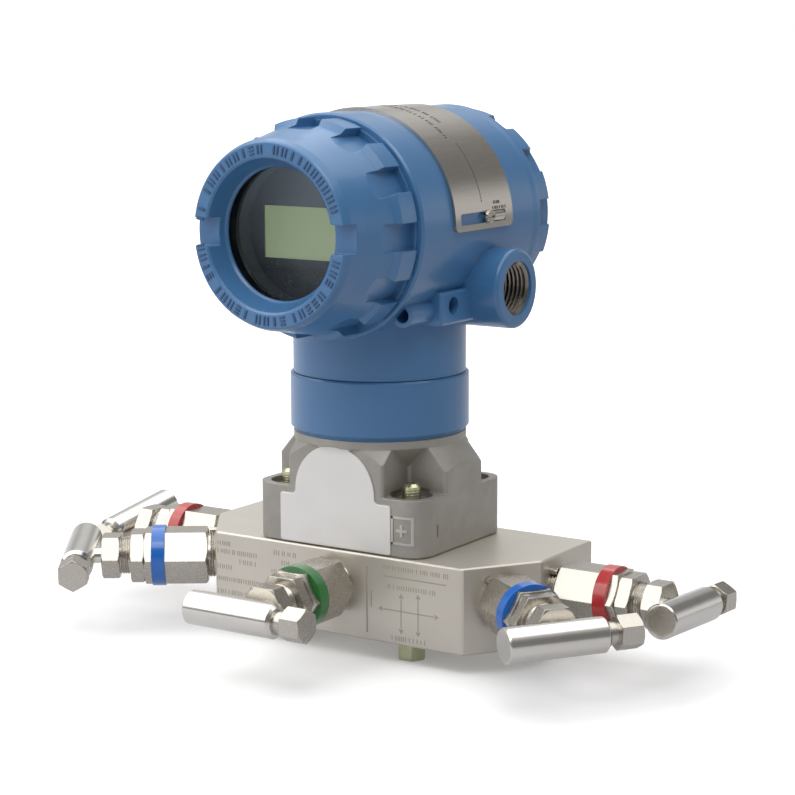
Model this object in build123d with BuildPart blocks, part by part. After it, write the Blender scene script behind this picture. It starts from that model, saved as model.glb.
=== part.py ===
from build123d import *
from math import atan2, cos, degrees, radians, sin
import os

os.makedirs("parts", exist_ok=True)

# Pressure transmitter on a five-valve manifold, in millimetres.
# The display faces -Y and +X is to the right of someone who reads it.
# The origin is on the axis of the neck, on the surface that the bolt heads stand on.

# Clearances
seat_gap = 0.02
running_gap = 0.06
joint_gap = 0.2

# Flange bolts
bolt_spacing_x = 56.0
bolt_spacing_y = 41.3
bolt_radius = 3.5
bolt_hole_radius = 3.8
bolt_head_flats = 10.0
bolt_head_height = 6.4
bolt_rise = 4.6
bolt_head_bevel = 0.5
bolt_end_bevel = 1.2
washer_radius = 6.6
washer_thickness = 1.6

# Manifold block
block_height = 33.4
block_half_length = 76.3
block_front = 32.0
block_back = 34.0
corner_run = 18.8
end_face_start = 5.0
block_edge = 0.6
port_spacing = 54.0
port_radius = 10.7
port_depth = 14.0
passage_radius = 2.0
valve_height = 19.9
vent_valve_y = 7.0

# Sensor module
module_half_x = 38.9
module_half_y = 31.3
module_corner = 9.0
module_edge = 0.8
shoulder_height = 22.5
front_arm_half = 22.0
side_arm_half = 13.4
arm_corner = 1.5
waist_radius = 41.5
waist_top = 30.0
flare_start = 30.5
flare_start_radius = 25.0
flare_end_radius = 32.8
neck_ring_bottom = 39.8
neck_base_radius = 33.7
module_height = 42.9
pocket_radius = 8.0
pocket_depth = 2.2
pocket_undercut = 1.2
panel_half_width = 25.5
panel_shoulder = 19.8
panel_dome_radius = 18.3
panel_top = 40.3
panel_rise = 0.4
panel_relief = 4.0
panel_outer_corner = 1.0
panel_inner_corner = 2.0
vent_slot_y = -19.4
vent_slot_width = 1.0
vent_slot_bottom = 7.0
vent_slot_top = 12.0
vent_slot_depth = 0.8
isolator_spacing = 35.0
diaphragm_radius = 13.2
diaphragm_thickness = 0.2
seal_inner_radius = 13.5
seal_outer_radius = 15.2
seal_thickness = 1.4
header_radius = 23.0
header_height = 24.0

# Collar round the neck
collar_radius = 34.8
collar_height = 22.85
collar_foot_radius = 33.4
collar_foot_height = 0.6
collar_bevel = 1.3
spigot_radius = 29.9
spigot_height = 9.0

# Housing
neck_radius = 33.66
axis_height = 165.0
housing_radius = 42.7
housing_front = -35.0
housing_back = 51.0
rim_radius = 43.0
rim_length = 3.0
rim_edge = 0.8
thread_radius = 37.5
thread_length = 13.0
compartment_radius = 36.0
partition_front = -10.5
partition_back = -5.0
spigot_room = 1.5
wire_hole_radius = 6.0
wire_hole_y = -20.0
post_radius = 3.0
post_height = 2.4
board_post_circle = 28.0

# Conduit entries
conduit_y = 18.4
conduit_drop = 25.0
conduit_face = 51.2
conduit_boss_radius = 15.4
conduit_boss_root = 10.0
conduit_thread_radius = 10.5
conduit_thread_depth = 18.0
conduit_inner_radius = 8.5
conduit_inner_end = 20.0
conduit_edge = 1.6

# Earth pad and jam screw boss under the right side
pad_face = 38.0
pad_root = 20.0
pad_front = -15.1
pad_back = 9.5
pad_bottom = -36.8
pad_top = -24.1
pad_edge = 1.2
earth_hole_radius = 3.5
earth_hole_y = -6.5
earth_hole_drop = 29.8
earth_hole_depth = 8.0
jam_boss_x = 30.4
jam_boss_drop = 31.4
jam_boss_front = -30.5
jam_boss_radius = 4.6
jam_hole_radius = 2.8
jam_hole_depth = 9.0

# Housing set screw
set_screw_radius = 2.4
set_screw_length = 3.4
set_screw_rise = 5.0
set_screw_socket = 2.5
set_screw_bore = 5.0

# Screwed covers
cover_length = 36.9
cover_spigot_length = 10.5
cover_ring_thickness = 1.2
cover_ring_radius = 40.2
lug_radius = 41.2
lug_length = 10.0
lug_bevel = 1.7
cover_root_radius = 38.9
cover_mid_radius = 36.0
cover_mid_length = 27.0
cover_nose_radius = 34.9
cover_nose_length = 34.0
cover_face_radius = 33.9
cover_face_edge = 0.6
cover_face_inner = 28.6
cover_bore_outer = 27.8
cover_bore_inner = 25.2
lug_count = 12
lug_angle = 13.7
gap_width = 10.2
gap_floor = 37.4
gap_length = 24.0
notch_width = 10.5
notch_depth = 5.4
cover_inner_radius = 33.0
rear_cover_length = 19.0
rear_shoulder_length = 12.5
rear_face_radius = 34.5
rear_dish_radius = 27.0
rear_dish_depth = 2.0
rear_wall = 5.0
ring_seal_radius = 0.95
ring_seal_setback = 3.3

# Window
window_depth = 9.1
window_lip_radius = 24.4
window_lip_thickness = 1.6
window_radius = 30.0
window_pocket_gap = 0.1
window_thickness = 6.0
retainer_thickness = 1.6
retainer_inner_radius = 25.5

# Display and electronics
board_radius = 34.0
board_thickness = 1.6
case_radius = 32.0
case_length = 16.0
case_lip_radius = 30.4
case_wall = 2.0
case_draft = 2.0
bezel_radius = 31.0
bezel_front = -54.0
bezel_mouth_radius = 28.0
bezel_floor_radius = 25.5
display_plane = -48.5
display_width = 38.0
display_height = 19.4
display_drop = 1.0
display_margin = 2.0
display_thickness = 2.4
bezel_step = 1.2
bezel_draft = 20.0

# Terminal block
block_width = 54.0
block_tall = 26.0
block_depth = 12.0
block_corner = 4.0
block_rise = 3.0
block_post_offset = 18.0
terminal_count = 4
terminal_pitch = 12.0
terminal_slot_width = 9.0
terminal_slot_depth = 4.0
terminal_screw_radius = 3.2
terminal_screw_height = 2.4
terminal_shank_radius = 1.6
terminal_shank_length = 5.0
driver_slot_width = 0.8
driver_slot_depth = 0.8

# Nameplate
plate_thickness = 1.2
plate_front = -14.5
plate_back = 27.0
plate_end_angle = 2.0
plate_corner = 2.5
plate_slot_front = -10.7
plate_slot_back = 21.5
plate_slot_low = 0.8
plate_slot_high = 5.1
plate_slot_corner = 0.8
plate_screw_y = 8.5
plate_screw_rise = (plate_slot_low + plate_slot_high) / 2
plate_screw_radius = 2.5
plate_screw_height = 1.4
plate_shank_radius = 1.2
plate_shank_length = 4.0
adjuster_front = 11.5
adjuster_back = 19.0
adjuster_radius = 2.0
adjuster_rise = 0.6

# Needle valves, measured from the manifold's face along the valve's axis
bonnet_thread_radius = 8.5
bonnet_thread_length = 15.0
bonnet_neck = 3.8
bonnet_flats = 21.0
bonnet_end = 29.4
bonnet_bevel = 1.6
gland_thread_radius = 7.15
gland_thread_end = 39.3
packing_room_radius = 5.2
packing_room_start = 24.0
packing_length = 6.0
band_start = 21.0
band_width = 5.2
band_radius = 12.3
band_groove_radius = 10.2
lock_nut_flats = 19.7
lock_nut_height = 5.4
gland_nut_flats = 16.7
gland_nut_height = 7.2
gland_nut_skirt = 8.0
nut_bevel = 1.0
stem_radius = 3.1
stem_inner_end = -10.0
tip_length = 5.0
tip_cone_length = 2.6
tip_end_radius = 1.2
seat_depth = 6.0
pin_radius = 1.4
pin_length = 7.0
pin_reach = 10.4
pin_turn = 125.0
left_vent_standoff = 2.0

# T handles
bar_height = 55.8
bar_radius = 6.5
bar_closed_end = 25.2
bar_length = 39.4
bar_closed_bevel = 0.5
bar_open_bevel = 1.2
bar_stem_depth = 2.0
screw_gap = 4.0
screw_shank_radius = 4.2
screw_head_height = 8.8
screw_head_flats = 11.3
screw_head_bevel = 0.9

# Levels that follow from the sizes above
block_bottom = bolt_head_height + washer_thickness
front_face_half = block_half_length - corner_run
block_top = block_bottom + block_height
valve_axis_z = block_bottom + valve_height
shoulder_z = block_top + shoulder_height
collar_bottom = block_top + module_height
collar_top = collar_bottom + collar_height
neck_bottom = collar_top + joint_gap
spigot_top = collar_top + spigot_height
cover_seat = housing_front - joint_gap
cover_front = cover_seat - cover_length
rear_seat = housing_back + joint_gap
rear_face = rear_seat + rear_cover_length
window_front = cover_front + window_depth
window_back = window_front + window_thickness
handle_open_end = bar_length - bar_closed_end
bolt_points = [(sx * bolt_spacing_x / 2, sy * bolt_spacing_y / 2) for sx in (-1, 1) for sy in (-1, 1)]
isolator_points = [(-isolator_spacing / 2, 0), (isolator_spacing / 2, 0)]

# The barrel of the housing is turned about this line, from profiles of (radius, y)
barrel_axis = Axis((0, 0, axis_height), (0, 1, 0))
barrel_profile = Plane.XY.offset(axis_height)


def facing_front(y):
    """A plane across the barrel: local x is X, local y is up, and it faces the reader."""
    return Plane(origin=(0, y, axis_height), x_dir=(1, 0, 0), z_dir=(0, -1, 0))


def facing_back(y):
    """A plane across the barrel that faces the rear."""
    return Plane(origin=(0, y, axis_height), x_dir=(-1, 0, 0), z_dir=(0, 1, 0))


def beside(base):
    """A plane that holds the axis of base: local x is the radius, local y goes along the axis."""
    return Plane(origin=base.origin, x_dir=base.x_dir, z_dir=base.x_dir.cross(base.z_dir))


def conduit_plane(side):
    """The mouth of the conduit entry on one side: z points out of it."""
    mouth = (side * conduit_face, conduit_y, axis_height - conduit_drop)
    return Plane(origin=mouth, x_dir=(0, side, 0), z_dir=(side, 0, 0))


def hex_piece(base, start, height, flats, bevel):
    """A hexagonal bar along the axis of base with its corners turned off at both ends."""
    corner = flats / 2 / cos(radians(30))
    with BuildPart(mode=Mode.PRIVATE) as piece:
        with BuildSketch(base.offset(start)):
            RegularPolygon(flats / 2, 6, major_radius=False)
        extrude(amount=height)
        with BuildSketch(beside(base)):
            with BuildLine():
                Polyline(
                    (0, start),
                    (corner - bevel, start),
                    (corner, start + bevel / 2),
                    (corner, start + height - bevel / 2),
                    (corner - bevel, start + height),
                    (0, start + height),
                    close=True,
                )
            make_face()
        revolve(axis=Axis(base.origin, base.z_dir), mode=Mode.INTERSECT)
    return piece.part


# Where the five valves sit: name, point on the manifold's face, heading, turn of the handle, standoff
angled_x = (front_face_half + block_half_length) / 2
angled_y = -(block_front + end_face_start) / 2
angled_heading = -degrees(atan2(corner_run, block_front - end_face_start))
valves = [
    ("equalizing", 0, -block_front, -90, 0, 0),
    ("right_isolating", angled_x, angled_y, angled_heading, 0, 0),
    ("left_isolating", -angled_x, angled_y, 180 - angled_heading, -4, 0),
    ("right_vent", block_half_length, vent_valve_y, 0, -3, 0),
    ("left_vent", -block_half_length, vent_valve_y, 180, -9, left_vent_standoff),
]


def valve_base(valve):
    """The plane of a valve on the manifold's face: z points out along the stem, y is up."""
    name, x, y, heading, turn, standoff = valve
    outward = Vector(cos(radians(heading)), sin(radians(heading)), 0)
    sideways = Vector(-sin(radians(heading)), cos(radians(heading)), 0)
    return Plane(origin=(x, y, valve_axis_z), x_dir=sideways, z_dir=outward)


conduit_mouths = [conduit_plane(1), conduit_plane(-1)]
bases = {valve[0]: valve_base(valve) for valve in valves}
seats = {valve[0]: bases[valve[0]].offset(valve[5]) for valve in valves}

# Manifold block, with its angled corners, ports, passages and valve seats
with BuildPart() as manifold_body:
    with BuildSketch(Plane.XY.offset(block_bottom)):
        with BuildLine():
            Polyline(
                (front_face_half, -block_front),
                (block_half_length, -end_face_start),
                (block_half_length, block_back),
                (-block_half_length, block_back),
                (-block_half_length, -end_face_start),
                (-front_face_half, -block_front),
                close=True,
            )
        make_face()
    extrude(amount=block_height)
    chamfer(manifold_body.edges(), block_edge)
    with BuildSketch(Plane.XY.offset(block_bottom)):
        with Locations(*bolt_points):
            Circle(bolt_hole_radius)
    extrude(amount=block_height, mode=Mode.SUBTRACT)
    with BuildSketch(Plane.XY.offset(block_bottom)):
        with Locations((-port_spacing / 2, 0), (port_spacing / 2, 0)):
            Circle(port_radius)
    extrude(amount=port_depth, mode=Mode.SUBTRACT)
    with BuildSketch(Plane.XY.offset(valve_axis_z)):
        with Locations(*isolator_points):
            Circle(passage_radius)
    extrude(amount=block_height, mode=Mode.SUBTRACT)
    for base in bases.values():
        with BuildSketch(base):
            Circle(bonnet_thread_radius + seat_gap)
        extrude(amount=-bonnet_thread_length, mode=Mode.SUBTRACT)
        with BuildSketch(base.offset(-bonnet_thread_length)):
            Circle(passage_radius)
        extrude(amount=-seat_depth, mode=Mode.SUBTRACT)
        with BuildSketch(base):
            with PolarLocations(pin_reach, 1, start_angle=pin_turn):
                Circle(pin_radius + seat_gap)
        extrude(amount=-pin_length / 2, mode=Mode.SUBTRACT)
manifold_body.part.label = "manifold_body"
export_step(manifold_body.part, "parts/manifold_body.step")

# Flange bolts: the heads are what the part stands on
with BuildPart() as flange_bolts:
    with BuildSketch(Plane.XY):
        with Locations(*bolt_points):
            RegularPolygon(bolt_head_flats / 2, 6, major_radius=False)
    extrude(amount=bolt_head_height)
    chamfer(flange_bolts.faces().sort_by(Axis.Z)[: len(bolt_points)].edges(), bolt_head_bevel)
    with BuildSketch(Plane.XY.offset(bolt_head_height)):
        with Locations(*bolt_points):
            Circle(bolt_radius)
    extrude(amount=shoulder_z + bolt_rise - bolt_head_height)
    chamfer(flange_bolts.faces().sort_by(Axis.Z)[-len(bolt_points) :].edges(), bolt_end_bevel)
flange_bolts.part.label = "flange_bolts"
export_step(flange_bolts.part, "parts/flange_bolts.step")

with BuildPart() as bolt_washers:
    with BuildSketch(Plane.XY.offset(bolt_head_height)):
        with Locations(*bolt_points):
            Circle(washer_radius)
            Circle(bolt_hole_radius, mode=Mode.SUBTRACT)
    extrude(amount=washer_thickness)
bolt_washers.part.label = "bolt_washers"
export_step(bolt_washers.part, "parts/bolt_washers.step")

# Sensor module: a square foot, a waist notched at the bolts, and a flare up to a round neck
with BuildPart() as sensor_module:
    with BuildSketch(Plane.XY.offset(shoulder_z)):
        Rectangle(2 * front_arm_half, 2 * module_half_y)
        Rectangle(2 * module_half_x, 2 * side_arm_half)
    extrude(amount=module_height - shoulder_height)
    fillet(sensor_module.edges().filter_by(Axis.Z), arm_corner)
    with BuildSketch(Plane.XZ):
        with BuildLine():
            Polyline(
                (0, shoulder_z),
                (waist_radius, shoulder_z),
                (waist_radius, block_top + waist_top),
                (neck_base_radius, block_top + neck_ring_bottom),
                (neck_base_radius, collar_bottom),
                (0, collar_bottom),
                close=True,
            )
        make_face()
    revolve(axis=Axis.Z, mode=Mode.INTERSECT)
    with BuildSketch(Plane.XZ):
        with BuildLine():
            Polyline(
                (0, block_top + flare_start),
                (flare_start_radius, block_top + flare_start),
                (flare_end_radius, block_top + neck_ring_bottom),
                (neck_base_radius, block_top + neck_ring_bottom),
                (neck_base_radius, collar_bottom),
                (0, collar_bottom),
                close=True,
            )
        make_face()
    revolve(axis=Axis.Z)
    with BuildSketch(Plane.XY.offset(block_top)):
        RectangleRounded(2 * module_half_x, 2 * module_half_y, module_corner)
    extrude(amount=shoulder_height)
    foot_edges = sensor_module.edges().filter_by_position(Axis.Z, block_top, block_top)
    chamfer(foot_edges, module_edge)
    with BuildSketch(Plane(origin=(0, -module_half_y, block_top), x_dir=(1, 0, 0), z_dir=(0, -1, 0))) as panel:
        with BuildLine():
            dome_start = panel_top - panel_dome_radius
            Polyline(
                (-panel_dome_radius, dome_start),
                (-panel_dome_radius, panel_shoulder),
                (-panel_half_width, panel_shoulder),
                (-panel_half_width, module_edge),
                (panel_half_width, module_edge),
                (panel_half_width, panel_shoulder),
                (panel_dome_radius, panel_shoulder),
                (panel_dome_radius, dome_start),
            )
            ThreePointArc(
                (panel_dome_radius, dome_start),
                (0, panel_top),
                (-panel_dome_radius, dome_start),
            )
        make_face()
        shoulder_points = panel.vertices().group_by(Axis.Y)[1]
        fillet(shoulder_points.sort_by(Axis.X)[1:-1], panel_inner_corner)
        fillet(panel.vertices().filter_by(lambda v: abs(abs(v.X) - panel_half_width) < panel_rise), panel_outer_corner)
    extrude(amount=panel_rise)
    extrude(panel.sketch.moved(Location((0, -panel_rise, 0))), amount=panel_relief, mode=Mode.SUBTRACT)
    with BuildSketch(Plane.XY.offset(shoulder_z + pocket_undercut)):
        with Locations(*bolt_points):
            Circle(pocket_radius)
    extrude(amount=-pocket_depth - pocket_undercut, mode=Mode.SUBTRACT)
    with BuildSketch(Plane.XY.offset(block_top)):
        with Locations(*bolt_points):
            Circle(bolt_hole_radius)
    extrude(amount=shoulder_height, mode=Mode.SUBTRACT)
    with BuildSketch(Plane.XY.offset(block_top)):
        with Locations(*isolator_points):
            Circle(seal_outer_radius + seat_gap)
    extrude(amount=seal_thickness, mode=Mode.SUBTRACT)
    with BuildSketch(Plane.YZ.offset(module_half_x)):
        slot_middle = block_top + (vent_slot_bottom + vent_slot_top) / 2
        with Locations((vent_slot_y, slot_middle)):
            Rectangle(vent_slot_width, vent_slot_top - vent_slot_bottom)
    extrude(amount=-vent_slot_depth, mode=Mode.SUBTRACT)
    with BuildSketch(Plane.XY.offset(collar_bottom)):
        Circle(header_radius)
    extrude(amount=header_height)
sensor_module.part.label = "sensor_module"
export_step(sensor_module.part, "parts/sensor_module.step")

with BuildPart() as process_seals:
    with BuildSketch(Plane.XY.offset(block_top)):
        with Locations(*isolator_points):
            Circle(seal_outer_radius)
            Circle(seal_inner_radius, mode=Mode.SUBTRACT)
    extrude(amount=seal_thickness)
process_seals.part.label = "process_seals"
export_step(process_seals.part, "parts/process_seals.step")

with BuildPart() as isolating_diaphragms:
    with BuildSketch(Plane.XY.offset(block_top + seal_thickness)):
        with Locations(*isolator_points):
            Circle(diaphragm_radius)
    extrude(amount=-diaphragm_thickness)
isolating_diaphragms.part.label = "isolating_diaphragms"
export_step(isolating_diaphragms.part, "parts/isolating_diaphragms.step")

# Collar on the module's neck, with the spigot that the housing turns on
with BuildPart() as neck_collar:
    with BuildSketch(Plane.XZ):
        with BuildLine():
            Polyline(
                (header_radius + seat_gap, collar_bottom),
                (collar_foot_radius, collar_bottom),
                (collar_foot_radius, collar_bottom + collar_foot_height),
                (collar_radius, collar_bottom + collar_foot_height + collar_bevel),
                (collar_radius, collar_top - collar_bevel / 2),
                (collar_radius - collar_bevel / 2, collar_top),
                (spigot_radius, collar_top),
                (spigot_radius, spigot_top),
                (header_radius + seat_gap, spigot_top),
                close=True,
            )
        make_face()
    revolve(axis=Axis.Z)
neck_collar.part.label = "neck_collar"
export_step(neck_collar.part, "parts/neck_collar.step")

# Housing: barrel, neck, conduit bosses, earth pad, jam screw boss and two compartments
with BuildPart() as housing:
    with BuildSketch(barrel_profile):
        with BuildLine():
            Polyline(
                (0, housing_front),
                (housing_radius - rim_edge, housing_front),
                (housing_radius, housing_front + rim_edge),
                (housing_radius, housing_back - 2 * rim_length),
                (rim_radius, housing_back - rim_length),
                (rim_radius, housing_back - rim_edge),
                (rim_radius - rim_edge, housing_back),
                (0, housing_back),
                close=True,
            )
        make_face()
    revolve(axis=barrel_axis)
    with BuildSketch(Plane.XY.offset(neck_bottom)):
        Circle(neck_radius)
    extrude(amount=axis_height - neck_bottom)
    with BuildSketch(Plane.YZ.offset(pad_face)):
        with Locations(((pad_front + pad_back) / 2, axis_height + (pad_bottom + pad_top) / 2)):
            Rectangle(pad_back - pad_front, pad_top - pad_bottom)
    extrude(amount=pad_root - pad_face)
    fillet(housing.faces().filter_by_position(Axis.X, pad_face, pad_face).edges(), pad_edge)
    for conduit_mouth in conduit_mouths:
        with BuildSketch(conduit_mouth):
            Circle(conduit_boss_radius)
        extrude(amount=conduit_boss_root - conduit_face)
    for edge_x in (conduit_face, -conduit_face):
        fillet(housing.faces().filter_by_position(Axis.X, edge_x, edge_x).edges(), conduit_edge)
    with BuildSketch(facing_front(jam_boss_front)):
        with Locations((jam_boss_x, -jam_boss_drop)):
            Circle(jam_boss_radius)
    extrude(amount=jam_boss_front - pad_front)
    with BuildSketch(barrel_profile):
        with BuildLine():
            Polyline(
                (0, housing_front),
                (thread_radius, housing_front),
                (thread_radius, housing_front + thread_length),
                (compartment_radius, housing_front + thread_length),
                (compartment_radius, partition_front),
                (0, partition_front),
                close=True,
            )
        make_face()
        with BuildLine():
            Polyline(
                (0, partition_back),
                (compartment_radius, partition_back),
                (compartment_radius, housing_back - thread_length),
                (thread_radius, housing_back - thread_length),
                (thread_radius, housing_back),
                (0, housing_back),
                close=True,
            )
        make_face()
    revolve(axis=barrel_axis, mode=Mode.SUBTRACT)
    for conduit_mouth in conduit_mouths:
        with BuildSketch(conduit_mouth):
            Circle(conduit_thread_radius)
        extrude(amount=-conduit_thread_depth, mode=Mode.SUBTRACT)
        with BuildSketch(conduit_mouth):
            Circle(conduit_inner_radius)
        extrude(amount=conduit_inner_end - conduit_face, mode=Mode.SUBTRACT)
    with BuildSketch(Plane.XY.offset(neck_bottom)):
        Circle(spigot_radius + running_gap)
    extrude(amount=spigot_height + spigot_room, mode=Mode.SUBTRACT)
    with BuildSketch(Plane.XY.offset(neck_bottom)):
        with Locations((0, wire_hole_y)):
            Circle(wire_hole_radius)
    extrude(amount=axis_height - compartment_radius / 2 - neck_bottom, mode=Mode.SUBTRACT)
    with BuildSketch(Plane.YZ.offset(pad_face)):
        with Locations((earth_hole_y, axis_height - earth_hole_drop)):
            Circle(earth_hole_radius)
    extrude(amount=-earth_hole_depth, mode=Mode.SUBTRACT)
    with BuildSketch(facing_front(jam_boss_front)):
        with Locations((jam_boss_x, -jam_boss_drop)):
            Circle(jam_hole_radius)
    extrude(amount=-jam_hole_depth, mode=Mode.SUBTRACT)
    with BuildSketch(facing_front(partition_front)):
        with PolarLocations(board_post_circle, 3, start_angle=90):
            Circle(post_radius)
    extrude(amount=post_height)
    with BuildSketch(facing_back(partition_back)):
        with Locations((-block_post_offset, block_rise), (block_post_offset, block_rise)):
            Circle(post_radius)
    extrude(amount=post_height)
    for side in (1, -1):
        plate_screw_plane = Plane(
            origin=(side * housing_radius, plate_screw_y, axis_height + plate_screw_rise),
            x_dir=(0, side, 0),
            z_dir=(side, 0, 0),
        )
        with BuildSketch(plate_screw_plane.offset(plate_thickness)):
            Circle(plate_shank_radius + seat_gap)
        extrude(amount=-plate_shank_length - plate_thickness, mode=Mode.SUBTRACT)
    set_screw_plane = Plane(
        origin=(0, neck_radius, neck_bottom + set_screw_rise),
        x_dir=(-1, 0, 0),
        z_dir=(0, 1, 0),
    )
    with BuildSketch(set_screw_plane):
        Circle(set_screw_radius + seat_gap)
    extrude(amount=-set_screw_bore, mode=Mode.SUBTRACT)
housing.part.label = "housing"
export_step(housing.part, "parts/housing.step")

with BuildPart() as rotation_set_screw:
    with BuildSketch(set_screw_plane.offset(-joint_gap)):
        Circle(set_screw_radius)
    extrude(amount=-set_screw_length)
    with BuildSketch(set_screw_plane.offset(-joint_gap)):
        RegularPolygon(set_screw_socket / 2, 6, major_radius=False)
    extrude(amount=-set_screw_length / 2, mode=Mode.SUBTRACT)
rotation_set_screw.part.label = "rotation_set_screw"
export_step(rotation_set_screw.part, "parts/rotation_set_screw.step")

# Front cover: screwed spigot, ring of grip lugs, tapered nose, window lip and wrench notches
cover_spigot_radius = thread_radius - running_gap
seal_groove_radius = cover_spigot_radius - 2 * ring_seal_radius
seal_groove_half = ring_seal_radius + running_gap
front_seal_y = cover_seat + ring_seal_setback
rear_seal_y = rear_seat - ring_seal_setback
with BuildPart() as front_cover:
    with BuildSketch(barrel_profile):
        with BuildLine():
            Polyline(
                (cover_inner_radius, cover_seat + cover_spigot_length),
                (cover_spigot_radius, cover_seat + cover_spigot_length),
                (cover_spigot_radius, front_seal_y + seal_groove_half),
                (seal_groove_radius, front_seal_y + seal_groove_half),
                (seal_groove_radius, front_seal_y - seal_groove_half),
                (cover_spigot_radius, front_seal_y - seal_groove_half),
                (cover_spigot_radius, cover_seat),
                (cover_ring_radius, cover_seat),
                (cover_ring_radius, cover_seat - cover_ring_thickness),
                (lug_radius, cover_seat - cover_ring_thickness),
                (lug_radius, cover_seat - cover_ring_thickness - lug_length),
                (cover_root_radius, cover_seat - cover_ring_thickness - lug_length - lug_bevel),
                (cover_mid_radius, cover_seat - cover_mid_length),
                (cover_nose_radius, cover_seat - cover_nose_length),
                (cover_face_radius, cover_front + cover_face_edge),
                (cover_face_radius - cover_face_edge, cover_front),
                (cover_face_inner, cover_front),
                (cover_bore_outer, cover_front + cover_face_edge),
                (cover_bore_inner, window_front - window_lip_thickness),
                (window_lip_radius, window_front - window_lip_thickness / 2),
                (window_lip_radius, window_front),
                (window_radius + window_pocket_gap, window_front),
                (window_radius + window_pocket_gap, window_back + retainer_thickness),
                (cover_inner_radius, window_back + 2 * retainer_thickness),
                close=True,
            )
        make_face()
    revolve(axis=barrel_axis)
    with BuildSketch(facing_front(cover_seat - cover_ring_thickness)):
        with PolarLocations(gap_floor, lug_count, start_angle=lug_angle + 180 / lug_count):
            Rectangle(gap_floor / 2, gap_width, align=(Align.MIN, Align.CENTER))
    extrude(amount=gap_length, mode=Mode.SUBTRACT)
    with BuildSketch(facing_front(cover_front)):
        with Locations((-cover_face_inner, 0), (cover_face_inner, 0)):
            Rectangle(cover_face_inner / 2, notch_width)
    extrude(amount=-notch_depth, mode=Mode.SUBTRACT)
front_cover.part.label = "front_cover"
export_step(front_cover.part, "parts/front_cover.step")

with BuildPart() as window_glass:
    with BuildSketch(facing_front(window_back)):
        Circle(window_radius)
    extrude(amount=window_thickness)
window_glass.part.label = "window_glass"
export_step(window_glass.part, "parts/window_glass.step")

with BuildPart() as window_retainer:
    with BuildSketch(facing_front(window_back + retainer_thickness)):
        Circle(window_radius)
        Circle(retainer_inner_radius, mode=Mode.SUBTRACT)
    extrude(amount=retainer_thickness)
window_retainer.part.label = "window_retainer"
export_step(window_retainer.part, "parts/window_retainer.step")

with BuildPart() as rear_cover:
    with BuildSketch(barrel_profile):
        with BuildLine():
            Polyline(
                (cover_inner_radius, rear_seat - cover_spigot_length),
                (cover_spigot_radius, rear_seat - cover_spigot_length),
                (cover_spigot_radius, rear_seal_y - seal_groove_half),
                (seal_groove_radius, rear_seal_y - seal_groove_half),
                (seal_groove_radius, rear_seal_y + seal_groove_half),
                (cover_spigot_radius, rear_seal_y + seal_groove_half),
                (cover_spigot_radius, rear_seat),
                (cover_ring_radius, rear_seat),
                (cover_ring_radius, rear_seat + cover_ring_thickness),
                (lug_radius, rear_seat + cover_ring_thickness),
                (lug_radius, rear_seat + cover_ring_thickness + lug_length - lug_bevel),
                (cover_root_radius, rear_seat + rear_shoulder_length),
                (rear_face_radius + cover_face_edge, rear_face - cover_face_edge),
                (rear_face_radius, rear_face),
                (rear_dish_radius, rear_face),
                (rear_dish_radius - rear_dish_depth / 2, rear_face - rear_dish_depth),
                (0, rear_face - rear_dish_depth),
                (0, rear_face - rear_dish_depth - rear_wall),
                (cover_inner_radius - rear_wall, rear_face - rear_dish_depth - rear_wall),
                (cover_inner_radius, rear_seat + cover_ring_thickness),
                close=True,
            )
        make_face()
    revolve(axis=barrel_axis)
    with BuildSketch(facing_back(rear_seat + cover_ring_thickness)):
        with PolarLocations(gap_floor, lug_count, start_angle=lug_angle + 180 / lug_count):
            Rectangle(gap_floor / 2, gap_width, align=(Align.MIN, Align.CENTER))
    extrude(amount=rear_cover_length, mode=Mode.SUBTRACT)
    with BuildSketch(facing_back(rear_face)):
        with Locations((-rear_dish_radius - rear_dish_depth, 0), (rear_dish_radius + rear_dish_depth, 0)):
            Rectangle(rear_dish_radius / 2, notch_width)
    extrude(amount=-rear_dish_depth, mode=Mode.SUBTRACT)
rear_cover.part.label = "rear_cover"
export_step(rear_cover.part, "parts/rear_cover.step")

for seal_name, seal_y in (("front_cover_seal", front_seal_y), ("rear_cover_seal", rear_seal_y)):
    with BuildPart() as cover_seal:
        with BuildSketch(barrel_profile):
            with Locations((seal_groove_radius + ring_seal_radius, seal_y)):
                Circle(ring_seal_radius - seat_gap)
        revolve(axis=barrel_axis)
    cover_seal.part.label = seal_name
    export_step(cover_seal.part, "parts/" + seal_name + ".step")

# Electronics in the front compartment, stacked towards the window
board_back = partition_front - post_height
case_back = board_back - board_thickness
display_board_back = case_back - case_length
bezel_back = display_board_back - board_thickness
with BuildPart() as electronics_board:
    with BuildSketch(facing_front(board_back)):
        Circle(board_radius)
    extrude(amount=board_thickness)
electronics_board.part.label = "electronics_board"
export_step(electronics_board.part, "parts/electronics_board.step")

with BuildPart() as electronics_case:
    with BuildSketch(facing_front(case_back)):
        Circle(case_radius)
    extrude(amount=case_length, taper=case_draft)
    with BuildSketch(facing_front(case_back)):
        Circle(case_radius - 2 * case_wall)
    extrude(amount=case_length - case_wall, mode=Mode.SUBTRACT)
electronics_case.part.label = "electronics_case"
export_step(electronics_case.part, "parts/electronics_case.step")

with BuildPart() as display_board:
    with BuildSketch(facing_front(display_board_back)):
        Circle(case_lip_radius)
    extrude(amount=board_thickness)
display_board.part.label = "display_board"
export_step(display_board.part, "parts/display_board.step")

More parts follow.
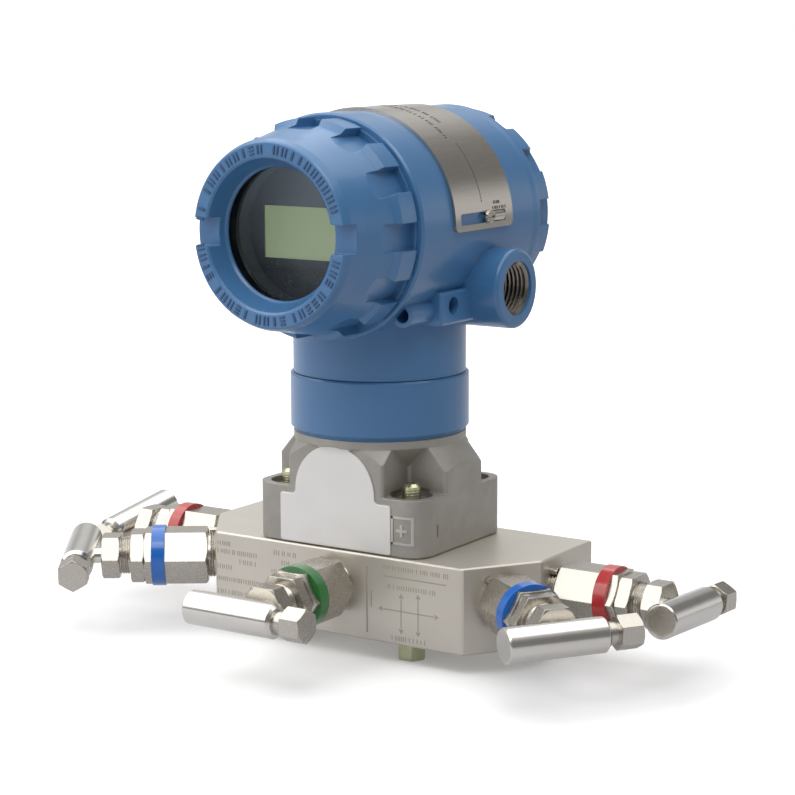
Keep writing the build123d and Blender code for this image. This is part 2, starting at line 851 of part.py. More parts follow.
with BuildPart() as display_bezel:
    with BuildSketch(barrel_profile):
        with BuildLine():
            Polyline(
                (0, bezel_back),
                (bezel_radius, bezel_back),
                (bezel_radius, bezel_front + bezel_step),
                (bezel_radius - bezel_step, bezel_front),
                (bezel_mouth_radius, bezel_front),
                (bezel_floor_radius, display_plane),
                (0, display_plane),
                close=True,
            )
        make_face()
    revolve(axis=barrel_axis)
    with BuildSketch(facing_front(display_plane)):
        with Locations((0, -display_drop)):
            Rectangle(display_width, display_height)
    extrude(amount=-bezel_step, taper=-bezel_draft, mode=Mode.SUBTRACT)
    with BuildSketch(facing_front(display_plane + bezel_step)):
        with Locations((0, -display_drop)):
            Rectangle(display_width + 2 * display_margin, display_height + 2 * display_margin)
    extrude(amount=-display_thickness - seat_gap, mode=Mode.SUBTRACT)
display_bezel.part.label = "display_bezel"
export_step(display_bezel.part, "parts/display_bezel.step")

with BuildPart() as display_panel:
    with BuildSketch(facing_front(display_plane + bezel_step)):
        with Locations((0, -display_drop)):
            Rectangle(
                display_width + 2 * display_margin - 2 * seat_gap,
                display_height + 2 * display_margin - 2 * seat_gap,
            )
    extrude(amount=-display_thickness)
display_panel.part.label = "display_panel"
export_step(display_panel.part, "parts/display_panel.step")

# Terminal block in the rear compartment
terminal_back = partition_back + post_height
terminal_front = terminal_back + block_depth
terminal_points = [
    ((index - (terminal_count - 1) / 2) * terminal_pitch, block_rise) for index in range(terminal_count)
]
with BuildPart() as terminal_block:
    with BuildSketch(facing_back(terminal_back)):
        with Locations((0, block_rise)):
            RectangleRounded(block_width, block_tall, block_corner)
    extrude(amount=block_depth)
    with BuildSketch(facing_back(terminal_front)):
        with Locations(*terminal_points):
            Rectangle(terminal_slot_width, block_tall)
    extrude(amount=-terminal_slot_depth, mode=Mode.SUBTRACT)
    with BuildSketch(facing_back(terminal_front - terminal_slot_depth)):
        with Locations(*terminal_points):
            Circle(terminal_shank_radius + seat_gap)
    extrude(amount=-terminal_shank_length, mode=Mode.SUBTRACT)
terminal_block.part.label = "terminal_block"
export_step(terminal_block.part, "parts/terminal_block.step")

with BuildPart() as terminal_screws:
    with BuildSketch(facing_back(terminal_front - terminal_slot_depth)):
        with Locations(*terminal_points):
            Circle(terminal_screw_radius)
    extrude(amount=terminal_screw_height)
    with BuildSketch(facing_back(terminal_front - terminal_slot_depth)):
        with Locations(*terminal_points):
            Circle(terminal_shank_radius)
    extrude(amount=-terminal_shank_length)
    with BuildSketch(facing_back(terminal_front - terminal_slot_depth + terminal_screw_height)):
        with Locations(*terminal_points):
            Rectangle(driver_slot_width, 2 * terminal_screw_radius)
    extrude(amount=-driver_slot_depth, mode=Mode.SUBTRACT)
terminal_screws.part.label = "terminal_screws"
export_step(terminal_screws.part, "parts/terminal_screws.step")

# Nameplate bent over the barrel, with its screws and adjustment cover
plate_inner = housing_radius + seat_gap
plate_outer = plate_inner + plate_thickness
plate_reach = 2 * housing_radius
plate_fall = plate_reach * sin(radians(plate_end_angle))
with BuildPart() as nameplate:
    with BuildSketch(facing_front(plate_back)):
        Circle(plate_outer)
        Circle(plate_inner, mode=Mode.SUBTRACT)
        with BuildLine():
            Polyline(
                (0, 0),
                (plate_reach, -plate_fall),
                (plate_reach, -plate_reach),
                (-plate_reach, -plate_reach),
                (-plate_reach, -plate_fall),
                close=True,
            )
        make_face(mode=Mode.SUBTRACT)
    extrude(amount=plate_back - plate_front)
    lower_ends = nameplate.faces().sort_by(Axis.Z)[:2]
    fillet(lower_ends.edges().filter_by(lambda edge: edge.length < 2 * plate_thickness), plate_corner)
    with BuildSketch(Plane.YZ.offset(-plate_reach)):
        slot_y = (plate_slot_front + plate_slot_back) / 2
        slot_z = axis_height + (plate_slot_low + plate_slot_high) / 2
        with Locations((slot_y, slot_z)):
            RectangleRounded(plate_slot_back - plate_slot_front, plate_slot_high - plate_slot_low, plate_slot_corner)
    extrude(amount=2 * plate_reach, mode=Mode.SUBTRACT)
nameplate.part.label = "nameplate"
export_step(nameplate.part, "parts/nameplate.step")

with BuildPart() as nameplate_screws:
    for side in (1, -1):
        head_plane = Plane(
            origin=(side * plate_outer, plate_screw_y, axis_height + plate_screw_rise),
            x_dir=(0, side, 0),
            z_dir=(side, 0, 0),
        )
        with BuildSketch(head_plane):
            Circle(plate_screw_radius)
        extrude(amount=plate_screw_height)
        with BuildSketch(head_plane):
            Circle(plate_shank_radius)
        extrude(amount=-plate_shank_length - plate_thickness / 2)
        with BuildSketch(head_plane.offset(plate_screw_height)):
            Rectangle(2 * plate_screw_radius, driver_slot_width)
        extrude(amount=-driver_slot_depth, mode=Mode.SUBTRACT)
nameplate_screws.part.label = "nameplate_screws"
export_step(nameplate_screws.part, "parts/nameplate_screws.step")

with BuildPart() as adjustment_cover:
    with BuildSketch(facing_front(adjuster_back)):
        with Locations((housing_radius + adjuster_rise, plate_screw_rise)):
            Circle(adjuster_radius)
        Circle(plate_inner, mode=Mode.SUBTRACT)
    extrude(amount=adjuster_back - adjuster_front)
adjustment_cover.part.label = "adjustment_cover"
export_step(adjustment_cover.part, "parts/adjustment_cover.step")

# Needle valves: one bonnet, tip, stem, bar and handle screw for each
for valve in valves:
    name = valve[0]
    seat = seats[name]
    axis = Axis(seat.origin, seat.z_dir)
    hexagon = hex_piece(seat, bonnet_neck, bonnet_end - bonnet_neck, bonnet_flats, bonnet_bevel)
    with BuildPart() as bonnet:
        add(hexagon)
        with BuildSketch(seat.offset(-bonnet_thread_length - valve[5])):
            Circle(bonnet_thread_radius)
        extrude(amount=bonnet_thread_length + valve[5] + bonnet_neck)
        with BuildSketch(seat.offset(bonnet_end)):
            Circle(gland_thread_radius)
        extrude(amount=gland_thread_end - bonnet_end)
        with BuildSketch(seat.offset(band_start)):
            Circle(bonnet_flats)
            Circle(band_groove_radius, mode=Mode.SUBTRACT)
        extrude(amount=band_width, mode=Mode.SUBTRACT)
        with BuildSketch(seat.offset(-bonnet_thread_length - valve[5])):
            Circle(stem_radius + running_gap)
        extrude(amount=bonnet_thread_length + valve[5] + packing_room_start, mode=Mode.SUBTRACT)
        with BuildSketch(seat.offset(packing_room_start)):
            Circle(packing_room_radius)
        extrude(amount=gland_thread_end - packing_room_start, mode=Mode.SUBTRACT)
    bonnet.part.label = name + "_bonnet"
    export_step(bonnet.part, "parts/" + name + "_bonnet.step")

    with BuildPart() as valve_tip:
        with BuildSketch(beside(seat)):
            with BuildLine():
                Polyline(
                    (0, stem_inner_end - seat_gap),
                    (stem_radius, stem_inner_end - seat_gap),
                    (stem_radius, stem_inner_end - tip_length + tip_cone_length),
                    (tip_end_radius, stem_inner_end - tip_length),
                    (0, stem_inner_end - tip_length),
                    close=True,
                )
            make_face()
        revolve(axis=axis)
    valve_tip.part.label = name + "_valve_tip"
    export_step(valve_tip.part, "parts/" + name + "_valve_tip.step")

    with BuildPart() as stem:
        with BuildSketch(seat.offset(stem_inner_end)):
            Circle(stem_radius)
        extrude(amount=bar_height + bar_stem_depth - stem_inner_end)
    stem.part.label = name + "_stem"
    export_step(stem.part, "parts/" + name + "_stem.step")

    turn = radians(valve[4])
    grip = Plane(
        origin=seat.origin,
        x_dir=seat.x_dir * cos(turn) + seat.y_dir * sin(turn),
        z_dir=seat.z_dir,
    )
    bar_end = Plane(
        origin=grip.from_local_coords((-bar_closed_end, 0, bar_height)),
        x_dir=grip.y_dir,
        z_dir=grip.x_dir,
    )
    with BuildPart() as handle_bar:
        with BuildSketch(bar_end):
            Circle(bar_radius)
        extrude(amount=bar_length)
        end_edges = handle_bar.edges().filter_by(GeomType.CIRCLE)
        closed_edge = end_edges.sort_by_distance(bar_end.origin)[0]
        open_edge = end_edges.sort_by_distance(bar_end.origin)[-1]
        chamfer(closed_edge, bar_closed_bevel)
        chamfer(open_edge, bar_open_bevel)
        with BuildSketch(bar_end.offset(bar_length)):
            Circle(screw_shank_radius + seat_gap)
        extrude(amount=stem_radius - handle_open_end, mode=Mode.SUBTRACT)
        with BuildSketch(grip.offset(bar_height - bar_radius)):
            Circle(stem_radius + seat_gap)
        extrude(amount=bar_radius + bar_stem_depth, mode=Mode.SUBTRACT)
    handle_bar.part.label = name + "_handle_bar"
    export_step(handle_bar.part, "parts/" + name + "_handle_bar.step")

    screw_head = hex_piece(
        bar_end, bar_length + screw_gap, screw_head_height, screw_head_flats, screw_head_bevel
    )
    with BuildPart() as handle_screw:
        add(screw_head)
        with BuildSketch(bar_end.offset(bar_length + screw_gap)):
            Circle(screw_shank_radius)
        extrude(amount=stem_radius + seat_gap - handle_open_end - screw_gap)
        with BuildSketch(grip.offset(bar_height - bar_radius)):
            Circle(stem_radius + seat_gap)
        extrude(amount=2 * bar_radius, mode=Mode.SUBTRACT)
    handle_screw.part.label = name + "_handle_screw"
    export_step(handle_screw.part, "parts/" + name + "_handle_screw.step")

# Coloured bands that name the valves: vents, isolators and the equalizer
band_colours = {
    "red_bands": ("right_vent", "left_vent"),
    "blue_bands": ("right_isolating", "left_isolating"),
    "green_band": ("equalizing",),
}
for band_name, owners in band_colours.items():
    with BuildPart() as bands:
        for owner in owners:
            with BuildSketch(seats[owner].offset(band_start)):
                Circle(band_radius)
                Circle(band_groove_radius + seat_gap, mode=Mode.SUBTRACT)
            extrude(amount=band_width)
    bands.part.label = band_name
    export_step(bands.part, "parts/" + band_name + ".step")

# Small pieces that every valve has: lock nut, gland nut, packing and locking pin
nut_blanks = [
    hex_piece(seat, bonnet_end, lock_nut_height, lock_nut_flats, nut_bevel) for seat in seats.values()
]
with BuildPart() as lock_nuts:
    add(nut_blanks)
    for seat in seats.values():
        with BuildSketch(seat.offset(bonnet_end)):
            Circle(gland_thread_radius + seat_gap)
        extrude(amount=lock_nut_height, mode=Mode.SUBTRACT)
lock_nuts.part.label = "lock_nuts"
export_step(lock_nuts.part, "parts/lock_nuts.step")

gland_blanks = [
    hex_piece(seat, gland_thread_end, gland_nut_height, gland_nut_flats, nut_bevel) for seat in seats.values()
]
with BuildPart() as gland_nuts:
    add(gland_blanks)
    for seat in seats.values():
        with BuildSketch(seat.offset(gland_thread_end)):
            Circle(packing_room_radius - seat_gap)
        extrude(amount=-gland_nut_skirt)
        with BuildSketch(seat.offset(gland_thread_end - gland_nut_skirt)):
            Circle(stem_radius + running_gap)
        extrude(amount=gland_nut_skirt + gland_nut_height, mode=Mode.SUBTRACT)
gland_nuts.part.label = "gland_nuts"
export_step(gland_nuts.part, "parts/gland_nuts.step")

with BuildPart() as stem_packings:
    for seat in seats.values():
        with BuildSketch(seat.offset(packing_room_start)):
            Circle(packing_room_radius - seat_gap)
            Circle(stem_radius + running_gap, mode=Mode.SUBTRACT)
        extrude(amount=packing_length)
stem_packings.part.label = "stem_packings"
export_step(stem_packings.part, "parts/stem_packings.step")

with BuildPart() as locking_pins:
    for base in bases.values():
        with BuildSketch(base.offset(-pin_length / 2)):
            with PolarLocations(pin_reach, 1, start_angle=pin_turn):
                Circle(pin_radius)
        extrude(amount=pin_length)
locking_pins.part.label = "locking_pins"
export_step(locking_pins.part, "parts/locking_pins.step")
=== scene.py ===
import math
import random

import bpy
from mathutils import Matrix, Vector


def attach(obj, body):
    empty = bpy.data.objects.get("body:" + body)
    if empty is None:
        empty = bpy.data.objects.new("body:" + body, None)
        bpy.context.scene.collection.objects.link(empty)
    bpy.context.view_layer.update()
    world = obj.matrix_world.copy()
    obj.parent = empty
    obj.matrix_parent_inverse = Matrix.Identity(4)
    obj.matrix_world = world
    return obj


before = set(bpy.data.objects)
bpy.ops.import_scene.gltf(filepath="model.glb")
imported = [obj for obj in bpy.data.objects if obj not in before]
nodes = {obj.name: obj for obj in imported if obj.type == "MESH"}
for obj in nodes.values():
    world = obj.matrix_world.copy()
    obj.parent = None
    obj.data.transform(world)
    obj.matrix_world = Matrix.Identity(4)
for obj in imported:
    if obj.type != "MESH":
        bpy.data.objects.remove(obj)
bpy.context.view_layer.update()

mm = 0.001
print("frame loaded:", len(nodes), "nodes")


# Camera, worked out from the photo's edges
cameraSettings = {
    "place": (0.47073, -0.70465, 0.24049),
    "azimuth": 33.28,           # degrees to the right of straight in front
    "pitch": 9.69,              # degrees down
    "roll": -0.19,
    "focalPixels": 2199.1,
    "imagePixels": 795,
    "sensorWidth": 36,
    "clipStart": 0.05,
}


def makeCamera(settings):
    azimuth, pitch, roll = (math.radians(settings[k]) for k in ("azimuth", "pitch", "roll"))
    outward = math.cos(pitch)
    forward = Vector((-math.sin(azimuth) * outward, math.cos(azimuth) * outward, -math.sin(pitch)))
    level = Vector((math.cos(azimuth), math.sin(azimuth), 0))
    upright = level.cross(forward)
    right = math.cos(roll) * level + math.sin(roll) * upright
    up = math.cos(roll) * upright - math.sin(roll) * level
    bpy.ops.object.camera_add(location=settings["place"])
    camera = bpy.context.object
    camera.rotation_euler = Matrix((right, up, -forward)).transposed().to_euler()
    camera.data.sensor_width = settings["sensorWidth"]
    camera.data.lens = settings["focalPixels"] * settings["sensorWidth"] / settings["imagePixels"]
    camera.data.clip_start = settings["clipStart"]
    bpy.context.scene.camera = camera


makeCamera(cameraSettings)
bpy.context.scene.view_settings.view_transform = "Standard"
print("camera made")


# Colours are sRGB hex, turned to linear here
def colour(hexText):
    parts = [int(hexText[i:i + 2], 16) / 255 for i in (1, 3, 5)]
    linear = [c / 12.92 if c <= 0.04045 else ((c + 0.055) / 1.055) ** 2.4 for c in parts]
    return (*linear, 1)


# A Mix node carries sockets for every kind of value. These are the numbers of its colour ones
mixFactor, mixFirst, mixSecond, mixResult = 0, 6, 7, 2


def addNode(tree, kind, settings=None, links=None):
    node = tree.nodes.new("ShaderNode" + kind)
    for key, value in (settings or {}).items():
        if isinstance(key, int) or key in node.inputs:
            node.inputs[key].default_value = value
        else:
            setattr(node, key, value)
    for key, (source, output) in (links or {}).items():
        tree.links.new(source.outputs[output], node.inputs[key])
    return node


def newMaterial(name, base, sockets):
    material = bpy.data.materials.new(name)
    material.use_nodes = True
    tree = material.node_tree
    shader = tree.nodes["Principled BSDF"]
    for key, value in {"Base Color": colour(base), **sockets}.items():
        shader.inputs[key].default_value = value
    material.diffuse_color = colour(base)
    return material, tree, shader


def addPattern(tree, sizeMm=1, stretch=(1, 1, 1), detail=2, heightsMm=None):
    # noise with lumps sizeMm across, drawn out along each axis, or an even climb between two heights.
    # It comes back as the node and its output
    place = addNode(tree, "TexCoord")
    if heightsMm:
        foot, top = heightsMm
        split = addNode(tree, "SeparateXYZ", links={"Vector": (place, "Object")})
        climb = addNode(tree, "MapRange", {"From Min": foot * mm, "From Max": top * mm},
                        {"Value": (split, "Z")})
        return climb, "Result"
    mapping = addNode(tree, "Mapping", {"Scale": [1 / s for s in stretch]}, {"Vector": (place, "Object")})
    noise = addNode(tree, "TexNoise", {"Scale": 1 / (sizeMm * mm), "Detail": detail},
                    {"Vector": (mapping, "Vector")})
    return noise, "Fac"


# What every finish is made of. "sockets" are the shader's constants. "tones" names the pattern that takes
# the base colour from dark to light, "roughness" the one that takes the roughness from low to high, and
# "bump" the one that raises the skin, with its strength and its depth in mm. Edges catch the light as
# if they were rounded to edgeMm
finishSettings = {
    # Two-pack polyurethane on cast aluminium: an even blue with a soft gloss and a faint orange peel
    "paint": {
        "name": "polyurethanePaintBlue", "base": "#4779A9",
        "sockets": {"Roughness": 0.34, "IOR": 1.5, "Coat Weight": 0.4, "Coat Roughness": 0.14},
        "patterns": {"cloud": {"sizeMm": 30}, "peel": {"sizeMm": 1.4}},
        "tones": ("cloud", "#3F709F", "#4779A9"), "bump": ("peel", 0.16, 0.06), "edgeMm": 0.7,
    },
    # The same paint on the raised marks, a shade deeper all over: painted shade for the shadows round the
    # raised marks
    "paintWithPaintedShade": {
        "name": "polyurethanePaintPaintedShade", "base": "#2A4D75",
        "sockets": {"Roughness": 0.4, "IOR": 1.5, "Coat Weight": 0.3, "Coat Roughness": 0.2},
        "patterns": {"peel": {"sizeMm": 0.8}},
        "tones": ("peel", "#26486F", "#2F557F"),
    },
    # Investment-cast stainless steel, bead blasted: matt grey-brown with a fine sparkle of pits
    "casting": {
        "name": "blastedStainlessCasting", "base": "#B4B0A9",
        "sockets": {"Metallic": 0.6, "Roughness": 0.5},
        "patterns": {"patch": {"sizeMm": 7, "detail": 4}, "grit": {"sizeMm": 0.45, "detail": 3}},
        "tones": ("patch", "#9D9992", "#B4B0A9"), "roughness": ("grit", 0.44, 0.6),
        "bump": ("grit", 0.3, 0.06), "edgeMm": 0.8,
    },
    # The same casting where its raised marks were rubbed bright by grinding
    "castingMark": {
        "name": "groundStainlessCasting", "base": "#C9C5C0",
        "sockets": {"Metallic": 0.6, "Roughness": 0.4},
        "patterns": {"haze": {"sizeMm": 5, "detail": 3}, "fine": {"sizeMm": 0.35}},
        "tones": ("haze", "#BDB8B2", "#D2CECA"), "bump": ("fine", 0.1, 0.03),
    },
    # Milled and belt-ground 316 stainless: long fine lines along X under a satin shine.
    # The lines are drawn 0.3 mm apart, coarser than the belt leaves them, so that they show
    "blockSteel": {
        "name": "beltGroundStainless", "base": "#DCD6CC",
        "sockets": {"Metallic": 0.6, "Roughness": 0.4},
        "patterns": {"cloud": {"sizeMm": 26, "detail": 3}, "lines": {"sizeMm": 0.3, "stretch": (60, 60, 1)}},
        "tones": ("cloud", "#CBC4B8", "#DCD6CC"), "roughness": ("lines", 0.34, 0.44),
        "bump": ("lines", 0.08, 0.02), "edgeMm": 0.5,
    },
    # Turned and milled 316 stainless bar: bright and slightly warm, with a satin skin
    "turned": {
        "name": "turnedStainless", "base": "#CCC7BE",
        "sockets": {"Metallic": 1, "Roughness": 0.27},
        "patterns": {"cloth": {"sizeMm": 2.5, "detail": 3}},
        "tones": ("cloth", "#BFB9AF", "#CCC7BE"), "roughness": ("cloth", 0.23, 0.31), "edgeMm": 0.4,
    },
    # Drawn and polished stainless bar: brighter than the turned pieces, with hardly a line in it
    "bar": {
        "name": "polishedStainlessBar", "base": "#E4E1DB",
        "sockets": {"Metallic": 1, "Roughness": 0.17},
        "patterns": {"smear": {"sizeMm": 6, "detail": 3}},
        "tones": ("smear", "#DAD6CF", "#E4E1DB"), "roughness": ("smear", 0.14, 0.21), "edgeMm": 0.4,
    },
    # Zinc plate with yellow passivation: greenish gold over bright metal
    "zinc": {
        "name": "yellowZincPlate", "base": "#C6C79F",
        "sockets": {"Metallic": 1, "Roughness": 0.26},
        "patterns": {"tint": {"sizeMm": 3.5}},
        "tones": ("tint", "#B9B984", "#D8DAC0"), "edgeMm": 0.4,
    },
    # Stainless sheet brushed along the barrel, so that the light spreads into a broad band.
    # Its lines too are drawn coarser than the brush leaves them
    "sheet": {
        "name": "brushedStainlessSheet", "base": "#CBC6BE",
        "sockets": {"Metallic": 0.95, "Roughness": 0.22},
        "patterns": {"lines": {"sizeMm": 0.22, "stretch": (1, 60, 1)}},
        "tones": ("lines", "#B9B3AA", "#CBC6BE"), "roughness": ("lines", 0.19, 0.26),
        "bump": ("lines", 0.06, 0.02),
    },
    # Laser-etched steel: a dull oxide a little darker than the metal round it
    "blockMark": {
        "name": "etchedOxideOnBlock", "base": "#AFA697",
        "sockets": {"Metallic": 0.3, "Roughness": 0.6},
        "patterns": {"speck": {"sizeMm": 0.3}}, "bump": ("speck", 0.2, 0.02),
    },
    # Laser-etched sheet, burnt darker than the block's marks
    "plateMark": {
        "name": "etchedOxideOnSheet", "base": "#5E574E",
        "sockets": {"Metallic": 0.3, "Roughness": 0.6},
        "patterns": {"speck": {"sizeMm": 0.3}}, "bump": ("speck", 0.2, 0.02),
    },
    # Bare aluminium with thread sealant smeared in it: brown-grey with a greasy shine
    "threadMetal": {
        "name": "bareThreadWithSealant", "base": "#9A9084",
        "sockets": {"Metallic": 1, "Roughness": 0.2},
        "patterns": {"smear": {"sizeMm": 2.2, "detail": 3}},
        "tones": ("smear", "#6A6257", "#A8A094"),
    },
    # Toughened soda-lime glass: nearly all clear, with a smooth skin that mirrors a little and dims
    # what is behind it
    "glass": {
        "name": "toughenedGlass", "base": "#1A2227",
        "sockets": {"Roughness": 0.03, "IOR": 1.52, "Alpha": 0.12},
    },
    # Injection-moulded black polycarbonate: deep blue-black with a clear shine along its curves
    "black": {
        "name": "blackPolycarbonate", "base": "#1B1D24",
        "sockets": {"Roughness": 0.3, "IOR": 1.55, "Coat Weight": 0.7, "Coat Roughness": 0.12},
        "patterns": {"skin": {"sizeMm": 2.5}},
        "tones": ("skin", "#12141A", "#181B22"), "roughness": ("skin", 0.27, 0.31), "edgeMm": 0.5,
    },
    # Smoked polariser round the display. A real one mirrors the room; here that is a painted reflection, pale
    # at its top and dark at its foot
    "polariser": {
        "name": "smokedPolariserPaintedReflection", "base": "#454E56",
        "sockets": {"Roughness": 0.26, "IOR": 1.5},
        # the climb from a dark foot to a pale top is a painted reflection
        "patterns": {"climb": {"heightsMm": (150, 186)}, "haze": {"sizeMm": 3}},
        "tones": ("climb", "#454E56", "#A6B3BD"), "roughness": ("haze", 0.24, 0.29),
    },
    # Unlit reflective liquid crystal: a flat grey-green film. Its emission is a painted glow that stands in
    # for the light the mirror behind it sends back
    "crystal": {
        "name": "liquidCrystalFilmPaintedGlow", "base": "#A3B391",
        # the emission is a painted glow, not a backlight
        "sockets": {"Roughness": 0.45, "IOR": 1.5, "Emission Color": colour("#A3B391"),
                    "Emission Strength": 0.48},
        "patterns": {"haze": {"sizeMm": 14}},
        "tones": ("haze", "#9CAC8B", "#ABBB99"),
    },
}

# Board lacquer, rubber, fluoropolymer and the nylon rings, each with the same fine moulded skin.
# Each is (name, dark, light, roughness, weight of the gloss on top)
mouldedSettings = {
    "board": ("lacqueredBoard", "#12402A", "#1B5236", 0.35, 0),
    "rubber": ("nitrileRubber", "#141414", "#1E1E1E", 0.6, 0),
    "fluoro": ("whiteFluoropolymer", "#DAD8D0", "#E8E6E0", 0.5, 0),
    "ringRed": ("redNylonRing", "#B32420", "#C2302B", 0.3, 0.8),
    "ringBlue": ("blueNylonRing", "#0060BA", "#006CCC", 0.3, 0.8),
    "ringGreen": ("greenNylonRing", "#176B28", "#1F7C34", 0.3, 0.8),
}
for role, (name, dark, light, roughness, gloss) in mouldedSettings.items():
    finishSettings[role] = {
        "name": name, "base": light,
        "sockets": {"Roughness": roughness, "IOR": 1.5, "Coat Weight": gloss, "Coat Roughness": 0.1},
        "patterns": {"skin": {"sizeMm": 0.6}},
        "tones": ("skin", dark, light), "bump": ("skin", 0.08, 0.03),
    }


def makeFinish(settings):
    material, tree, shader = newMaterial(settings["name"], settings["base"], settings["sockets"])
    patterns = {key: addPattern(tree, **value) for key, value in settings.get("patterns", {}).items()}
    if "tones" in settings:
        pattern, dark, light = settings["tones"]
        tones = addNode(tree, "Mix", {"data_type": "RGBA", mixFirst: colour(dark), mixSecond: colour(light)},
                        {mixFactor: patterns[pattern]})
        tree.links.new(tones.outputs[mixResult], shader.inputs["Base Color"])
    if "roughness" in settings:
        pattern, low, high = settings["roughness"]
        spread = addNode(tree, "MapRange", {"To Min": low, "To Max": high}, {"Value": patterns[pattern]})
        tree.links.new(spread.outputs["Result"], shader.inputs["Roughness"])
    skin = shader
    if "bump" in settings:
        pattern, strength, depthMm = settings["bump"]
        skin = addNode(tree, "Bump", {"Strength": strength, "Distance": depthMm * mm},
                       {"Height": patterns[pattern]})
        tree.links.new(skin.outputs["Normal"], shader.inputs["Normal"])
    if "edgeMm" in settings:
        edge = addNode(tree, "Bevel", {"samples": 6, "Radius": settings["edgeMm"] * mm})
        tree.links.new(edge.outputs["Normal"], skin.inputs["Normal"])
    return material


finishes = {role: makeFinish(settings) for role, settings in finishSettings.items()}

# The casting's front flat, which stands proud of the rest, is painted much paler: painted light for the key
# light falling full on the face turned to the front
flatSettings = {
    "dark": "#E6E3DF", "light": "#F0EEEB", "haze": {"sizeMm": 14, "detail": 3},
    "startMm": 31.5,            # it lies farther forward than this
    "topMm": 81.2,
}


def paintLightOnFlat(material, settings):
    tree = material.node_tree
    baseColour = tree.nodes["Principled BSDF"].inputs["Base Color"]
    around = baseColour.links[0].from_node
    place = addNode(tree, "TexCoord")
    split = addNode(tree, "SeparateXYZ", links={"Vector": (place, "Object")})
    proud = addNode(tree, "Math", {"operation": "LESS_THAN", 1: -settings["startMm"] * mm},
                    {0: (split, "Y")})
    below = addNode(tree, "Math", {"operation": "LESS_THAN", 1: settings["topMm"] * mm},
                    {0: (split, "Z")})
    onFlat = addNode(tree, "Math", {"operation": "MULTIPLY"}, {0: (proud, "Value"), 1: (below, "Value")})
    flat = addNode(tree, "Mix", {"data_type": "RGBA", mixFirst: colour(settings["dark"]),
                                 mixSecond: colour(settings["light"])},
                   {mixFactor: addPattern(tree, **settings["haze"])})
    both = addNode(tree, "Mix", {"data_type": "RGBA"}, {
        mixFactor: (onFlat, "Value"), mixFirst: (around, mixResult), mixSecond: (flat, mixResult)})
    tree.links.new(both.outputs[mixResult], baseColour)


# the front flat is painted paler as painted light
paintLightOnFlat(finishes["casting"], flatSettings)

# Where each valve's axis meets the manifold, which way it points, and how far its bonnet stands off
valvePlaces = {
    "equalizing": ((0, -32), (0, -1), 0),
    "right_isolating": ((66.9, -18.5), (0.820652, -0.571430), 0),
    "left_isolating": ((-66.9, -18.5), (-0.820652, -0.571430), 0),
    "right_vent": ((76.3, 7), (1, 0), 0),
    "left_vent": ((-76.3, 7), (-1, 0), 2),
}

nodeFinishes = {
    "manifold_body": "blockSteel", "flange_bolts": "zinc", "bolt_washers": "zinc",
    "process_seals": "fluoro", "sensor_module": "casting", "isolating_diaphragms": "turned",
    "neck_collar": "paint", "red_bands": "ringRed", "blue_bands": "ringBlue", "green_band": "ringGreen",
    "lock_nuts": "turned", "gland_nuts": "turned", "stem_packings": "fluoro", "locking_pins": "turned",
    "housing": "paint", "rotation_set_screw": "turned", "electronics_board": "board",
    "electronics_case": "black", "display_board": "board", "display_bezel": "polariser",
    "display_panel": "crystal", "terminal_block": "black", "terminal_screws": "turned",
    "nameplate": "sheet", "nameplate_screws": "turned", "adjustment_cover": "turned",
    "window_glass": "glass", "window_retainer": "black", "front_cover_seal": "rubber",
    "front_cover": "paint", "rear_cover_seal": "rubber", "rear_cover": "paint",
}
valveFinishes = {"bonnet": "turned", "valve_tip": "turned", "stem": "bar", "handle_bar": "bar",
                 "handle_screw": "turned"}
for valve in valvePlaces:
    for part, role in valveFinishes.items():
        nodeFinishes[valve + "_" + part] = role
for nodeName, node in nodes.items():
    node.material_slots[0].material = finishes[nodeFinishes[nodeName]]
print("finishes set on", len(nodeFinishes), "nodes")


# Pieces that only the eye needs: threads and marks. Their measures are in mm
meshSettings = {
    "mergeReach": 0.001,        # points closer than this become one
    "smoothAngle": 35,          # degrees: flatter edges than this are shaded smooth
    "turnSteps": 40,            # faces in one turn of a thread
    "threadFill": 0.49,         # half of a thread ridge's foot, as a share of the pitch
    "stripCells": 12,           # faces along each side of a strip that is pressed onto a shape
}


def clearSelection():
    if bpy.context.object and bpy.context.object.mode == "EDIT":
        bpy.ops.object.mode_set(mode="OBJECT")
    bpy.ops.object.select_all(action="DESELECT")


def settle(piece, name, finish, body):
    # its place goes into the mesh, doubles are merged, and the faces point out
    clearSelection()
    piece.select_set(True)
    bpy.context.view_layer.objects.active = piece
    bpy.ops.object.transform_apply(location=True, rotation=True, scale=True)
    bpy.ops.object.mode_set(mode="EDIT")
    bpy.ops.mesh.select_all(action="SELECT")
    bpy.ops.mesh.remove_doubles(threshold=meshSettings["mergeReach"] * mm)
    bpy.ops.mesh.normals_make_consistent(inside=False)
    bpy.ops.object.mode_set(mode="OBJECT")
    bpy.ops.object.shade_smooth_by_angle(angle=math.radians(meshSettings["smoothAngle"]))
    piece.name = name
    piece.data.name = name
    piece.data.materials.clear()
    piece.data.materials.append(finishes[finish])
    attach(piece, body)


